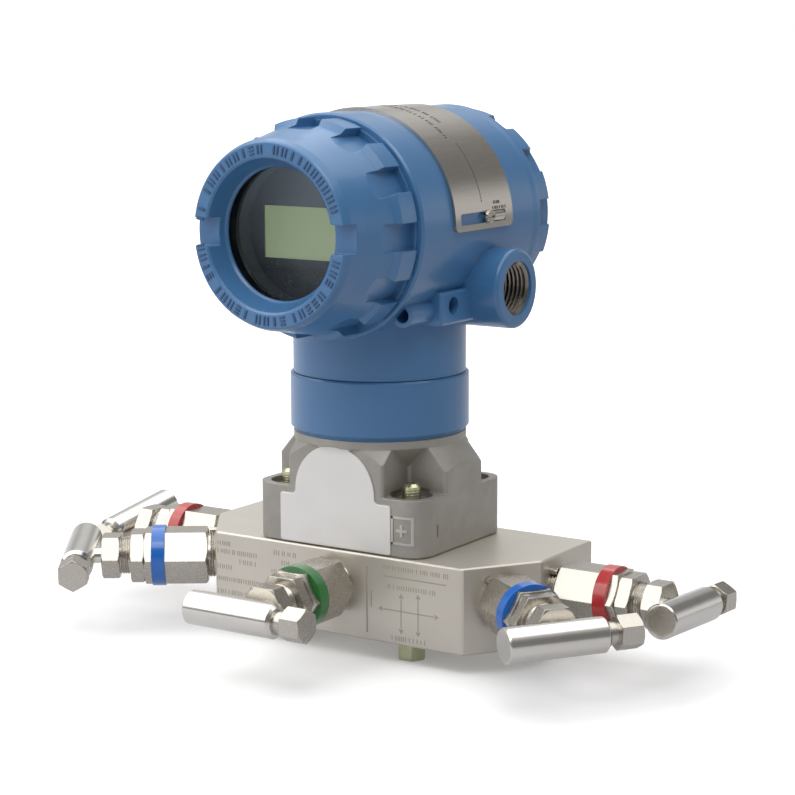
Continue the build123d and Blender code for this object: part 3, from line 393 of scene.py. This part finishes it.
def threadRidge(radius, depth, pitch, length, place, along):
    # a four-sided bead wound round Z, half of it sunk in the shank or the bore's wall
    clearSelection()
    bpy.ops.mesh.primitive_circle_add(vertices=4, radius=1, rotation=(math.pi / 2, 0, 0))
    ridge = bpy.context.object
    bpy.ops.object.transform_apply(location=False, rotation=True, scale=False)
    bpy.ops.object.mode_set(mode="EDIT")
    bpy.ops.mesh.select_all(action="SELECT")
    bpy.ops.transform.resize(value=(depth * mm, 1, meshSettings["threadFill"] * pitch * mm),
                             center_override=(0, 0, 0))
    bpy.ops.transform.translate(value=(radius * mm, 0, 0.5 * pitch * mm))
    bpy.ops.object.mode_set(mode="OBJECT")
    turns = (length - pitch) / pitch
    winding = ridge.modifiers.new("winding", "SCREW")
    winding.axis = "Z"
    winding.angle = 2 * math.pi * turns
    winding.screw_offset = (length - pitch) * mm
    winding.steps = winding.render_steps = int(meshSettings["turnSteps"] * turns)
    bpy.ops.object.modifier_apply(modifier=winding.name)
    bpy.ops.object.mode_set(mode="EDIT")
    bpy.ops.mesh.select_all(action="SELECT")
    bpy.ops.mesh.fill_holes(sides=4)
    bpy.ops.object.mode_set(mode="OBJECT")
    ridge.rotation_euler = Vector(along).to_track_quat("Z", "Y").to_euler()
    ridge.location = [c * mm for c in place]
    return ridge


def joinPieces(pieces):
    clearSelection()
    for piece in pieces:
        piece.select_set(True)
    bpy.context.view_layer.objects.active = pieces[0]
    bpy.ops.object.join()
    return bpy.context.object


def barField(bars, bevel):
    # bars are (middle, size, turn): raised dashes, added one by one in one mesh
    clearSelection()
    piece = None
    for middle, size, turn in bars:
        bpy.ops.mesh.primitive_cube_add(size=1, location=[c * mm for c in middle], rotation=turn,
                                        scale=[c * mm for c in size])
        if piece is None:
            piece = bpy.context.object
            bpy.ops.object.transform_apply(location=True, rotation=True, scale=True)
            bpy.ops.object.mode_set(mode="EDIT")
    bpy.ops.object.mode_set(mode="OBJECT")
    if bevel:
        rounding = piece.modifiers.new("rounding", "BEVEL")
        rounding.width = bevel * mm
        rounding.segments = 2
        bpy.ops.object.modifier_apply(modifier=rounding.name)
    return piece


# Turns on each bonnet: between its two nuts, and on its shoulder at the block. The starts are measured
# along the valve's axis
valveThreadSettings = {
    "height": 27.9,
    "glandRadius": 7.15, "glandStart": 34.8, "glandLength": 4.5, "glandPitch": 1.0, "glandDepth": 0.45,
    "shoulderRadius": 8.6, "shoulderStart": 0.1, "shoulderLength": 3.6, "shoulderPitch": 1.2,
    "shoulderDepth": 0.5,
}


def makeValveThreads(settings):
    for valve, (foot, heading, standoff) in valvePlaces.items():
        ridges = []
        for end in ("gland", "shoulder"):
            radius, depth, pitch, length, start = (
                settings[end + key] for key in ("Radius", "Depth", "Pitch", "Length", "Start"))
            reach = start + standoff
            place = (foot[0] + heading[0] * reach, foot[1] + heading[1] * reach, settings["height"])
            ridges.append(threadRidge(radius, depth, pitch, length, place, (*heading, 0)))
        settle(joinPieces(ridges), valve + "_threads", "turned", "base")


makeValveThreads(valveThreadSettings)
print("valve threads made")

# Turns in both conduit entries, from the mouth inwards
conduitSettings = {"radius": 10.55, "depth": 1.1, "pitch": 1.81, "length": 16.5, "mouth": (50.9, 18.4, 140.0)}


def makeConduitThreads(settings):
    for side, name in ((1, "right_conduit_thread"), (-1, "left_conduit_thread")):
        x, y, z = settings["mouth"]
        ridge = threadRidge(settings["radius"], settings["depth"], settings["pitch"], settings["length"],
                            (side * x, y, z), (-side, 0, 0))
        settle(ridge, name, "threadMetal", "housing")


makeConduitThreads(conduitSettings)
print("conduit threads made")

# Turns on the four flange bolts' ends, in the casting's recesses
boltEndSettings = {
    "radius": 3.45, "depth": 0.14, "pitch": 1.0, "length": 5.0,
    "start": 62.4, "x": 28.0, "y": 20.65,
}


def makeBoltThreads(settings):
    ridges = [threadRidge(settings["radius"], settings["depth"], settings["pitch"], settings["length"],
                          (sx * settings["x"], sy * settings["y"], settings["start"]), (0, 0, 1))
              for sx in (1, -1) for sy in (1, -1)]
    settle(joinPieces(ridges), "bolt_end_threads", "zinc", "base")


makeBoltThreads(boltEndSettings)
print("bolt threads made")

# Raised dashes round the cover's face, in groups, where such covers carry a cast line
coverMarkSettings = {
    "radius": 30.95, "face": -72.1, "axisHeight": 165.0, "proud": 0.35, "sunk": 0.3, "rounding": 0.12,
    "cell": 6.9,                # degrees from one cell of dashes to the next
    # (degrees of the first cell, way round, cells) of each group
    "groups": ((171.0, -1, 2), (151.0, -1, 9), (82.5, -1, 10), (190.5, 1, 4), (222.5, 1, 5),
               (261.0, 1, 4), (291.5, 1, 5), (330.0, 1, 3)),
    # (aside, outwards, width, height) of each dash in a cell
    "cells": {
        "pair": ((-0.8, 0, 0.75, 3.3), (0.8, 0, 0.75, 3.3)),
        "stack": ((0, -1.3, 2.3, 0.7), (0, 0, 2.3, 0.7), (0, 1.3, 2.3, 0.7)),
        "single": ((0, 0, 1.1, 3.3),),
    },
    "draw": ("pair", "pair", "stack", "single"), "seed": 11,
}


def makeCoverMarks(settings):
    chooser = random.Random(settings["seed"])
    depth = settings["proud"] + settings["sunk"]
    y = settings["face"] + settings["sunk"] - depth / 2
    bars = []
    for start, sense, cells in settings["groups"]:
        for cell in range(cells):
            middle = start + sense * cell * settings["cell"]
            for aside, outwards, wide, tall in settings["cells"][chooser.choice(settings["draw"])]:
                reach = settings["radius"] + outwards
                angle = math.radians(middle) - aside / reach
                place = (reach * math.cos(angle), y, settings["axisHeight"] + reach * math.sin(angle))
                bars.append((place, (wide, depth, tall), (0, math.pi / 2 - angle, 0)))
    piece = barField(bars, settings["rounding"])
    # the dashes take the paint darkened as painted shade
    settle(piece, "cover_marks", "paintWithPaintedShade", "front_cover")


makeCoverMarks(coverMarkSettings)
print("cover marks made")

# Etched rows of ticks on the manifold's front, with a flow sketch of plain arrows
manifoldMarkSettings = {
    "face": -32.0, "proud": 0.05, "sunk": 0.1, "seed": 5,
    "tickWide": 0.42, "tickTall": 1.9, "tickShares": (1.0, 1.0, 0.8), "tickSteps": (0.85, 0.95, 1.15, 1.7),
    # (left, right, height) of each row
    "rows": ((-56.3, -49.3, 37.0), (-56.4, -37.0, 33.8), (-56.5, -49.5, 27.5), (-45.5, -37.6, 30.4),
             (-56.6, -34.8, 22.6), (-56.7, -34.9, 17.4), (-28.7, -18.1, 36.5), (-24.9, -21.5, 32.8),
             (-29.8, -21.1, 28.9), (22.9, 47.8, 37.6), (49.4, 51.6, 37.6), (24.6, 46.2, 30.4),
             (26.4, 41.6, 10.6)),
    "line": (22.8, 50.5, 34.2, 0.5),                                    # left, right, height, width
    "uprights": ((15.0, 11.0, 36.9, 0.7), (17.0, 21.1, 27.5, 0.5)),     # x, low, high, width
    "arrowLevel": (21.4, 46.1, 21.3),                                   # left, right, height
    "arrowDrops": ((30.5, 27.0, 13.7), (38.1, 27.7, 13.7)),             # x, high, low
    "arrowLine": 0.45, "arrowHead": 1.25,
    "arrowRoom": 1.0,           # the line ends this far inside the middle of its head
}


def makeManifoldMarks(settings):
    chooser = random.Random(settings["seed"])
    depth = settings["proud"] + settings["sunk"]
    y = settings["face"] + settings["sunk"] - depth / 2
    bars = []
    for left, right, z in settings["rows"]:
        x = left
        while x < right:
            tall = settings["tickTall"] * chooser.choice(settings["tickShares"])
            bars.append(((x, y, z), (settings["tickWide"], depth, tall), (0, 0, 0)))
            x += chooser.choice(settings["tickSteps"])
    left, right, z, wide = settings["line"]
    bars.append((((left + right) / 2, y, z), (right - left, depth, wide), (0, 0, 0)))
    for x, low, high, wide in settings["uprights"]:
        bars.append(((x, y, (low + high) / 2), (wide, depth, high - low), (0, 0, 0)))
    line, shorter = settings["arrowLine"], 2 * settings["arrowRoom"]
    left, right, level = settings["arrowLevel"]
    bars.append((((left + right) / 2, y, level), (right - left - shorter, depth, line), (0, 0, 0)))
    heads = [((left, level), math.pi), ((right, level), 0)]
    for x, high, low in settings["arrowDrops"]:
        bars.append(((x, y, (low + high) / 2), (line, depth, high - low - shorter), (0, 0, 0)))
        heads += [((x, low), -math.pi / 2), ((x, high), math.pi / 2)]
    pieces = [barField(bars, 0)]
    for (x, z), heading in heads:
        clearSelection()
        bpy.ops.mesh.primitive_cylinder_add(vertices=3, radius=settings["arrowHead"] * mm, depth=depth * mm,
                                            location=(x * mm, y * mm, z * mm),
                                            rotation=(math.pi / 2, math.pi / 2 - heading, 0))
        pieces.append(bpy.context.object)
        bpy.ops.object.transform_apply(location=True, rotation=True, scale=True)
    settle(joinPieces(pieces), "manifold_marks", "blockMark", "base")


makeManifoldMarks(manifoldMarkSettings)
print("manifold marks made")


def wrappedMarks(strips, target, thickness):
    # flat strips are pressed onto the target along Y, then given their thickness
    clearSelection()
    piece = None
    cells = meshSettings["stripCells"]
    for middle, wide, tall in strips:
        place = [c * mm for c in middle]
        bpy.ops.mesh.primitive_grid_add(x_subdivisions=cells, y_subdivisions=cells, size=mm,
                                        location=place, rotation=(math.pi / 2, 0, 0))
        if piece is None:
            piece = bpy.context.object
            bpy.ops.object.transform_apply(location=True, rotation=True, scale=True)
            bpy.ops.object.mode_set(mode="EDIT")
            bpy.ops.mesh.select_all(action="SELECT")
        bpy.ops.transform.resize(value=(wide, 1, tall), center_override=place)
    bpy.ops.object.mode_set(mode="OBJECT")
    press = piece.modifiers.new("press", "SHRINKWRAP")
    press.target = nodes[target]
    press.wrap_method = "PROJECT"
    press.use_project_x, press.use_project_y, press.use_project_z = False, True, False
    press.use_positive_direction = press.use_negative_direction = True
    bpy.ops.object.modifier_apply(modifier=press.name)
    wall = piece.modifiers.new("wall", "SOLIDIFY")
    wall.thickness = thickness * mm
    wall.offset = 0
    bpy.ops.object.modifier_apply(modifier=wall.name)
    return piece


# A plus in a square frame, cast proud beside the module's front flat
moduleMarkSettings = {
    "left": 26.2, "right": 34.4, "low": 47.2, "high": 57.2, "line": 0.9, "plusLong": 4.6, "plusLine": 1.1,
    "start": -34.0, "thickness": 0.7,
}


def makeModuleMark(settings):
    left, right, low, high, line = (settings[k] for k in ("left", "right", "low", "high", "line"))
    x, z, y = (left + right) / 2, (low + high) / 2, settings["start"]
    wide, tall = right - left + line, high - low + line
    strips = [
        ((x, y, low), wide, line), ((x, y, high), wide, line),
        ((left, y, z), line, tall), ((right, y, z), line, tall),
        ((x, y, z), settings["plusLong"], settings["plusLine"]),
        ((x, y, z), settings["plusLine"], settings["plusLong"]),
    ]
    mark = wrappedMarks(strips, "sensor_module", settings["thickness"])
    settle(mark, "module_mark", "castingMark", "base")


makeModuleMark(moduleMarkSettings)
print("module mark made")

# Etched ticks on the nameplate: rows over its top, a fine line down its middle, and a few beside the
# slot. Angles are in degrees up from the right, round the barrel
plateMarkSettings = {
    "axisHeight": 165.0, "radius": 43.92, "thickness": 0.16, "seed": 3,
    "topRows": ((8.5, 60, 118), (1.5, 48, 112)),            # y, first and last angle
    "topSteps": (1.3, 1.5, 1.9, 2.8), "tickTall": 1.7, "tickWide": 0.5,
    "line": (5.0, 12, 46, 0.35),                            # y, first and last angle, width
    "lineStep": 1.5, "lineDash": 0.75,
    "sideRows": ((10.5, 13.5, 17.5), (7.8, 12.5, 22.0)),    # angle, first and last y
    "sideSteps": (0.9, 1.1, 1.5), "sideTall": 1.2,
}


def makePlateMarks(settings):
    chooser = random.Random(settings["seed"])
    radius, height = settings["radius"], settings["axisHeight"]
    bars = []

    def onPlate(y, degreesUp, along, around):
        angle = math.radians(degreesUp)
        place = (radius * math.cos(angle), y, height + radius * math.sin(angle))
        bars.append((place, (settings["thickness"], along, around), (0, -angle, 0)))

    for y, low, high in settings["topRows"]:
        angle = low
        while angle < high:
            onPlate(y, angle, settings["tickTall"], settings["tickWide"])
            angle += chooser.choice(settings["topSteps"])
    y, low, high, wide = settings["line"]
    for step in range(int((high - low) / settings["lineStep"])):
        onPlate(y, low + settings["lineStep"] * step, wide, settings["lineDash"])
    for angle, left, right in settings["sideRows"]:
        y = left
        while y < right:
            onPlate(y, angle, settings["tickWide"], settings["sideTall"])
            y += chooser.choice(settings["sideSteps"])
    settle(barField(bars, 0), "nameplate_marks", "plateMark", "housing")


makePlateMarks(plateMarkSettings)
print("nameplate marks made")


# Floor and light: a white sweep, a wide softbox at the left front, one overhead, a small one high in
# front, and a pale room. The sweep shows white, and throws back more light on its left than on its right
stageSettings = {
    "floorSize": 40.0, "floorRoughness": 0.9,
    "floorTone": "#F0F0F0",
    "floorGlow": (0.2, 1.0), "glowReach": (0.3, 1.3),           # as seen: near and far, and how far
    "bounceTone": "#A6A6AA",
    "bounceGlow": (0.44, 0.0), "bounceSpan": (-0.45, 0.45),     # as thrown back: left and right, and where
    "aim": (0, 0, 0.1),
    "keyPower": 13, "keySize": 2.0, "keyPlace": (-1.2, -1.3, 1.2),
    "topPower": 18, "topSize": 2.6, "topPlace": (-0.1, 0.1, 1.4),
    "frontPower": 4, "frontSize": 0.8, "frontPlace": (0.55, -0.8, 1.3),
    # The room by the way one looks: the sky's strength by height, then a pale wall on the left and the
    # white backdrop low down behind, each with where it fades in
    "sky": ((0.0, 0.24), (0.12, 0.22), (0.34, 0.2), (0.56, 0.24), (0.76, 0.6), (1.0, 0.7)),
    "leftGlow": 0.55, "leftSpan": (0.0, -0.4), "leftRise": (0.2, 0.4),
    "backGlow": 0.55, "backSpan": (0.1, 0.7), "backRise": (0.32, 0.16),
}


def areaLight(place, size, power, aim):
    clearSelection()
    bpy.ops.object.light_add(type="AREA", location=place)
    lamp = bpy.context.object
    lamp.data.shape = "DISK"
    lamp.data.size = size
    lamp.data.energy = power
    lamp.rotation_euler = (Vector(aim) - Vector(place)).to_track_quat("-Z", "Y").to_euler()


def makeFloor(settings):
    clearSelection()
    bpy.ops.mesh.primitive_plane_add(size=settings["floorSize"])
    floor = bpy.context.object
    floor.name = "floor"
    tone = colour(settings["floorTone"])
    floorPaper, tree, shader = newMaterial("studioPaper", settings["floorTone"], {
        "Roughness": settings["floorRoughness"], "Emission Color": tone})
    seen = addNode(tree, "LightPath")
    face = addNode(tree, "Mix", {"data_type": "RGBA", mixFirst: colour(settings["bounceTone"]),
                                 mixSecond: tone}, {mixFactor: (seen, "Is Camera Ray")})
    tree.links.new(face.outputs[mixResult], shader.inputs["Base Color"])
    place = addNode(tree, "TexCoord")
    across = addNode(tree, "SeparateXYZ", links={"Vector": (place, "Object")})
    left, right = settings["bounceSpan"]
    leftGlow, rightGlow = settings["bounceGlow"]
    thrown = addNode(tree, "MapRange", {"From Min": left, "From Max": right, "To Min": leftGlow,
                                        "To Max": rightGlow}, {"Value": (across, "X")})
    away = addNode(tree, "VectorMath", {"operation": "LENGTH"}, {"Vector": (place, "Object")})
    near, far = settings["glowReach"]
    nearGlow, farGlow = settings["floorGlow"]
    shown = addNode(tree, "MapRange", {"From Min": near, "From Max": far, "To Min": nearGlow,
                                       "To Max": farGlow}, {"Value": (away, "Value")})
    glow = addNode(tree, "Mix", {"data_type": "FLOAT"},
                   {"Factor": (seen, "Is Camera Ray"), "A": (thrown, "Result"), "B": (shown, "Result")})
    tree.links.new(glow.outputs["Result"], shader.inputs["Emission Strength"])
    floor.data.materials.append(floorPaper)


def makeRoom(settings):
    world = bpy.data.worlds.new("studioSky")
    bpy.context.scene.world = world
    world.use_nodes = True
    tree = world.node_tree
    background = tree.nodes["Background"]
    background.inputs["Color"].default_value = (1, 1, 1, 1)
    look = addNode(tree, "TexCoord")
    split = addNode(tree, "SeparateXYZ", links={"Vector": (look, "Generated")})
    sky = addNode(tree, "ValToRGB", links={"Fac": (split, "Z")})
    stops = sky.color_ramp.elements
    for index, (height, strength) in enumerate(settings["sky"]):
        stop = stops[index] if index < 2 else stops.new(height)
        stop.position = height
        stop.color = (strength, strength, strength, 1)
    walls = []
    for wall, axis in (("back", "Y"), ("left", "X")):
        start, full = settings[wall + "Span"]
        off, on = settings[wall + "Rise"]
        across = addNode(tree, "MapRange", {"From Min": start, "From Max": full,
                                            "To Max": settings[wall + "Glow"]}, {"Value": (split, axis)})
        rise = addNode(tree, "MapRange", {"From Min": off, "From Max": on}, {"Value": (split, "Z")})
        walls.append(addNode(tree, "Math", {"operation": "MULTIPLY"},
                             {0: (across, "Result"), 1: (rise, "Result")}))
    back, left = walls
    stronger = addNode(tree, "Math", {"operation": "MAXIMUM"}, {0: (back, "Value"), 1: (left, "Value")})
    room = addNode(tree, "Math", {"operation": "ADD"}, {0: (stronger, "Value"), 1: (sky, "Color")})
    path = addNode(tree, "LightPath")
    seen = addNode(tree, "Mix", {"data_type": "FLOAT", "B": 1},
                   {"Factor": (path, "Is Camera Ray"), "A": (room, "Value")})
    tree.links.new(seen.outputs["Result"], background.inputs["Strength"])


makeFloor(stageSettings)
for light in ("key", "top", "front"):
    areaLight(stageSettings[light + "Place"], stageSettings[light + "Size"], stageSettings[light + "Power"],
              stageSettings["aim"])
makeRoom(stageSettings)
print("stage and light made")
